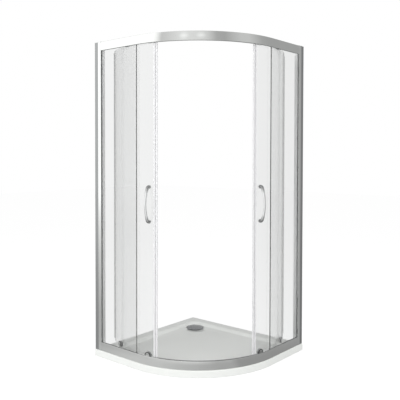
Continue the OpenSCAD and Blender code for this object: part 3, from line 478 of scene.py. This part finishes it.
def tray_line(wall, front, corner):
    """Plan of the tray set in by wall from the two walls and by front from the glazed sides: the
    quarter circle of the front, then straights joined by three corners of one radius."""
    right, back, left, near = HALF - front, HALF - wall, wall - HALF, front - HALF
    return np.vstack([
        round_line(ARC, TRAY_R - front, -90, 0, 120),
        stretch_line((right, ARC[1]), (right, back - corner), 16),
        round_line((right - corner, back - corner), corner, 0, 90, 20),
        stretch_line((right - corner, back), (left + corner, back), 32),
        round_line((left + corner, back - corner), corner, 90, 180, 20),
        stretch_line((left, back - corner), (left, near + corner), 32),
        round_line((left + corner, near + corner), corner, 180, 270, 20),
        stretch_line((left + corner, near), (ARC[0], near), 16),
    ])


def level(plan, height):
    """Lifts a plan of points to a height."""
    return np.column_stack([plan, np.full(len(plan), height)])


def bend_through(start, corner, end, count):
    """A soft corner in a section: start and end weigh in by the squares of (1 - t) and t, and the
    corner point by 2 t (1 - t), as t runs from 0 to 1."""
    t = np.linspace(0, 1, count)[:, None]
    return (1 - t) ** 2 * np.array(start) + 2 * t * (1 - t) * np.array(corner) + t**2 * np.array(end)


def make_tray():
    """The cast tray: its plan outline rises up the outer face, turns over a round edge, crosses the
    flat rim, dips by soft bends into the basin, and runs inwards over a floor that falls evenly to
    the round waste hole, whose wall leads down to the flat underside."""
    # Inset and height: a fine bevel at the foot, then the upright outer face
    rings = [level(tray_line(inset, inset, TRAY_CORNER), height) for inset, height in
             ((0.0010, 0.0), (0.0003, 0.0003), (0.0, 0.0010), (0.0, 0.0020), (0.0, RIM_Z - 0.0045))]
    for t in np.radians(np.linspace(0, 90, 7)):
        inset = RIM_EDGE * (1 - np.cos(t))
        height = RIM_Z - RIM_EDGE + RIM_EDGE * np.sin(t)
        rings.append(level(tray_line(inset, inset, TRAY_CORNER + inset), height))
    # Half-way across the flat rim, then inwards and down over the basin's edge
    rings.append(level(tray_line(0.030, 0.024, 0.030), RIM_Z))
    section = np.vstack([
        bend_through((-0.0045, RIM_Z), (0.0, RIM_Z), (0.0040, RIM_Z - 0.0021), 7),
        bend_through((0.0215, RIM_Z - 0.0114), (0.026, FOOT_Z), (0.0315, FOOT_Z - 0.0001), 7),
    ])
    for run, height in section:
        plan = tray_line(BASIN_WALL + run, BASIN_FRONT + run, BASIN_CORNER - run / 2)
        rings.append(level(plan, height))
    foot = rings[-1][:, :2]
    aim = foot - WASTE
    aim /= np.linalg.norm(aim, axis=1)[:, None]
    for t in np.linspace(0, 1, 14)[1:]:
        rings.append(level((1 - t) * foot + t * (WASTE + WASTE_R * aim), FOOT_Z - (FOOT_Z - FLOOR_Z) * t))
    for radius, height in ((WASTE_R, SEAT_Z), (OUTLET_R, SEAT_Z), (OUTLET_R, 0.0)):
        rings.append(level(WASTE + radius * aim, height))
    rings.append(level(0.5 * (tray_line(0.001, 0.001, TRAY_CORNER) + WASTE + OUTLET_R * aim), 0.0))
    rings.append(level(tray_line(0.004, 0.004, TRAY_CORNER), 0.0))
    smooth_mesh("tray_cast", np.array(rings), resin, "root", "shower_tray", loop=True)


def handle_line(count):
    """Centre line of a handle, as distance from the glass, height, tilt in degrees and radius: the
    upper half is a wide bow, a tight bend and a straight foot, and the lower half mirrors it."""
    thin, thick = 0.0065, 0.0110  # radius in the middle and at the feet
    reach, pitch = 0.0359, 0.192  # from the glass to the middle, and between the feet
    bow, bend = 0.220, 0.016  # radii of the wide bow and of the tight bends
    early = 0.55  # share of the thickening that lies along the bow
    slant = np.degrees(np.arcsin((pitch / 2 - bend) / (bow - bend)))
    cut = np.cos(np.radians(slant))
    foot = reach - bend * cut - bow * (1 - cut)
    tilt = np.linspace(0, slant, count)
    turn = np.radians(tilt)
    share = early * (tilt / slant) ** 2
    bowed = np.stack([foot + bend * cut + bow * (np.cos(turn) - cut), bow * np.sin(turn), tilt,
                      thin + (thick - thin) * share], -1)
    tilt = np.linspace(slant, 90, count // 2)[1:]
    turn = np.radians(tilt)
    share = early + (1 - early) * (tilt - slant) / (90 - slant)
    bent = np.stack([foot + bend * np.cos(turn), pitch / 2 + bend * (np.sin(turn) - 1), tilt,
                     thin + (thick - thin) * share], -1)
    ends = np.array([[0.0018, pitch / 2, 90, thick], [0.0012, pitch / 2, 90, thick - 0.0003],
                     [0.0010, pitch / 2, 90, thick - 0.0009]])
    upper = np.vstack([bowed, bent, ends])
    return np.vstack([(upper * (1, -1, -1, 1))[:0:-1], upper])


def make_handle(side):
    """A bowed bar: circles of changing radius, square to the handle's centre line, which lies in
    the upright plane through the door's hinge line."""
    reach, rise, tilt, radius = handle_line(26).T
    tilt = np.radians(tilt)
    around = np.radians(np.arange(0, 360, 10))
    out = reach[:, None] + radius[:, None] * np.cos(around) * np.cos(tilt)[:, None] + DOOR_R
    up = rise[:, None] + radius[:, None] * np.cos(around) * np.sin(tilt)[:, None] + HANDLE_Z
    across = radius[:, None] * np.sin(around) + np.zeros_like(out)
    turn = np.radians(HANDLE_AT)
    x = ARC[0] + out * np.cos(turn) - across * np.sin(turn)
    y = ARC[1] + out * np.sin(turn) + across * np.cos(turn)
    if side == "right":
        x, y = (-y)[:, ::-1], (-x)[:, ::-1]
        up = up[:, ::-1]
    rings = np.stack([x, y, up], -1)
    smooth_mesh("handle_bar_" + side, rings, handle_chrome, "door_" + side, "handle_" + side)


make_tray()
for side in SIDES:
    make_handle(side)


# ---------------------------------------------------------------- studio


def by_ray(tree, seen, mirrored, lit, out):
    """The camera and glass see one shader, mirrors see another, and all else meets the third."""
    path = add_node(tree, "ShaderNodeLightPath")
    sight = sums(tree, "MAXIMUM", path.outputs["Is Camera Ray"], path.outputs["Is Transmission Ray"])
    first = add_node(tree, "ShaderNodeMixShader")
    join(tree, path.outputs["Is Glossy Ray"], first.inputs["Fac"])
    join(tree, lit, first.inputs[1])
    join(tree, mirrored, first.inputs[2])
    last = add_node(tree, "ShaderNodeMixShader")
    join(tree, sight, last.inputs["Fac"])
    join(tree, first.outputs[0], last.inputs[1])
    join(tree, seen, last.inputs[2])
    join(tree, last.outputs[0], out.inputs["Surface"])


def round_studio(tree, direction, stops):
    """A grey by the turn of a direction about Z, from stops of azimuth and brightness."""
    parts = apart(tree, direction)
    turn = sums(tree, "ARCTAN2", parts["Y"], parts["X"])
    turn = sums(tree, "DIVIDE", sums(tree, "ADD", turn, np.pi), 2 * np.pi)
    return shades(tree, turn, *[((a + 180) / 360, (g / BRIGHT,) * 3) for a, g in stops])


def window_glow(tree, direction):
    """How far a direction lies in one of the windows: 1 in its middle, falling evenly to 0."""
    glows = []
    for azimuth, height, size in WINDOWS:
        turn, rise = np.radians(azimuth), np.radians(height)
        aim = (np.cos(turn) * np.cos(rise), np.sin(turn) * np.cos(rise), np.sin(rise))
        glows.append(between(tree, distance(tree, direction, aim), 1.0, 0.0, 0.0, np.radians(size)))
    return sums(tree, "MAXIMUM", *glows)


def studio_world():
    """White to the camera and through glass, in mirrors a white wall on the left, pale and grey
    ones in front and on the right and two windows, and as light a dome that is nearly even."""
    world = bpy.data.worlds.new("studio")
    scene.world = world
    world.use_nodes = True
    tree = world.node_tree
    tree.nodes.clear()
    out = add_node(tree, "ShaderNodeOutputWorld")
    direction = add_node(tree, "ShaderNodeTexCoord").outputs["Generated"]
    white = add_node(tree, "ShaderNodeBackground", Strength=1.0)
    white.inputs["Color"].default_value = WHITE
    mirrored = add_node(tree, "ShaderNodeBackground", Strength=BRIGHT)
    walls = round_studio(tree, direction, STUDIO)
    glow = sums(tree, "MULTIPLY", window_glow(tree, direction), WINDOW_LIGHT)
    join(tree, blend(tree, glow, walls, WHITE, "ADD"), mirrored.inputs["Color"])
    soft = add_node(tree, "ShaderNodeBackground", Strength=1.0)
    height = apart(tree, direction)["Z"]
    dome = shades(tree, height, *[(place, (grey,) * 3) for place, grey in DOME])
    join(tree, dome, soft.inputs["Color"])
    by_ray(tree, white.outputs[0], mirrored.outputs[0], soft.outputs[0], out)


def studio_floor():
    """A pale floor that the camera sees as white where no shadow falls; mirrors see it as grey near
    the object and as part of the walls far away."""
    reach = FLOOR_FADE[1]
    mesh = bpy.data.meshes.new("floor")
    corners = [(-reach, -reach), (reach, -reach), (reach, reach), (-reach, reach)]
    mesh.from_pydata([(x, y, FLOOR_DROP) for x, y in corners], [], [(0, 1, 2, 3)])
    floor = bpy.data.objects.new("floor", mesh)
    scene.collection.objects.link(floor)
    material = bpy.data.materials.new("floor_white")
    material.use_nodes = True
    tree = material.node_tree
    tree.nodes.clear()
    out = add_node(tree, "ShaderNodeOutputMaterial")
    matte = add_node(tree, "ShaderNodeBsdfDiffuse")
    matte.inputs["Color"].default_value = (*(FLOOR_MATTE,) * 3, 1)
    glow = add_node(tree, "ShaderNodeEmission", Strength=FLOOR_GLOW)
    both = add_node(tree, "ShaderNodeAddShader")
    join(tree, matte.outputs[0], both.inputs[0])
    join(tree, glow.outputs[0], both.inputs[1])
    place = object_place(tree)
    off = distance(tree, place, (0, 0, 0))
    beside, beyond = round_studio(tree, place, FLOOR_BESIDE), round_studio(tree, place, FLOOR_BEYOND)
    near = blend(tree, between(tree, off, 0.0, 1.0, *FLOOR_STEP), beside, beyond)
    outwards = sums(tree, "POWER", between(tree, off, 0.0, 1.0, *FLOOR_FADE), 0.8)
    mirrored = add_node(tree, "ShaderNodeEmission", Strength=BRIGHT)
    join(tree, blend(tree, outwards, near, round_studio(tree, place, STUDIO)), mirrored.inputs["Color"])
    plain = add_node(tree, "ShaderNodeBsdfDiffuse")
    plain.inputs["Color"].default_value = (*(FLOOR_PLAIN,) * 3, 1)
    by_ray(tree, both.outputs[0], mirrored.outputs[0], plain.outputs[0], out)
    mesh.materials.append(material)


def seat(thing, across, above, ahead, place):
    """Puts a lamp or a camera at a place, looking ahead, with its own X and Y across and above."""
    scene.collection.objects.link(thing)
    turned = np.eye(4)
    turned[:3] = np.column_stack([across, above, -ahead, place])
    thing.matrix_world = Matrix(turned.tolist())


def soft_lamp(name, place, width, height, power):
    """A rectangular soft lamp that faces the lamps' common point and isn't seen itself."""
    data = bpy.data.lights.new(name, "AREA")
    data.shape = "RECTANGLE"
    data.size, data.size_y, data.energy = width, height, power
    lamp = bpy.data.objects.new(name, data)
    ahead = np.array(LAMP_AIM) - np.array(place)
    ahead /= np.linalg.norm(ahead)
    side = np.cross(ahead, (0, 0, 1))
    side /= np.linalg.norm(side)
    seat(lamp, side, np.cross(side, ahead), ahead, place)
    lamp.visible_glossy = False
    lamp.visible_camera = False
    lamp.visible_transmission = False


def set_camera():
    """The photograph's view: a level look at the round corner from just above its middle."""
    turn, dip, roll = np.radians(CAMERA_TURNS)
    ahead = np.array([-np.sin(turn) * np.cos(dip), np.cos(turn) * np.cos(dip), -np.sin(dip)])
    across = np.array([np.cos(turn), np.sin(turn), 0.0])
    above = np.cross(across, ahead)
    right = np.cos(roll) * across + np.sin(roll) * above
    up = -np.sin(roll) * across + np.cos(roll) * above
    data = bpy.data.cameras.new("camera")
    data.sensor_width = 36.0
    data.lens = FOCAL / PHOTO_SIDE * data.sensor_width
    data.shift_y = SHIFT / PHOTO_SIDE
    data.clip_end = 60.0
    camera = bpy.data.objects.new("camera", data)
    seat(camera, right, up, ahead, CAMERA_PLACE)
    scene.camera = camera


scene.view_settings.view_transform = "Standard"
studio_world()
studio_floor()
for lamp in LAMPS:
    soft_lamp(*lamp)
set_camera()
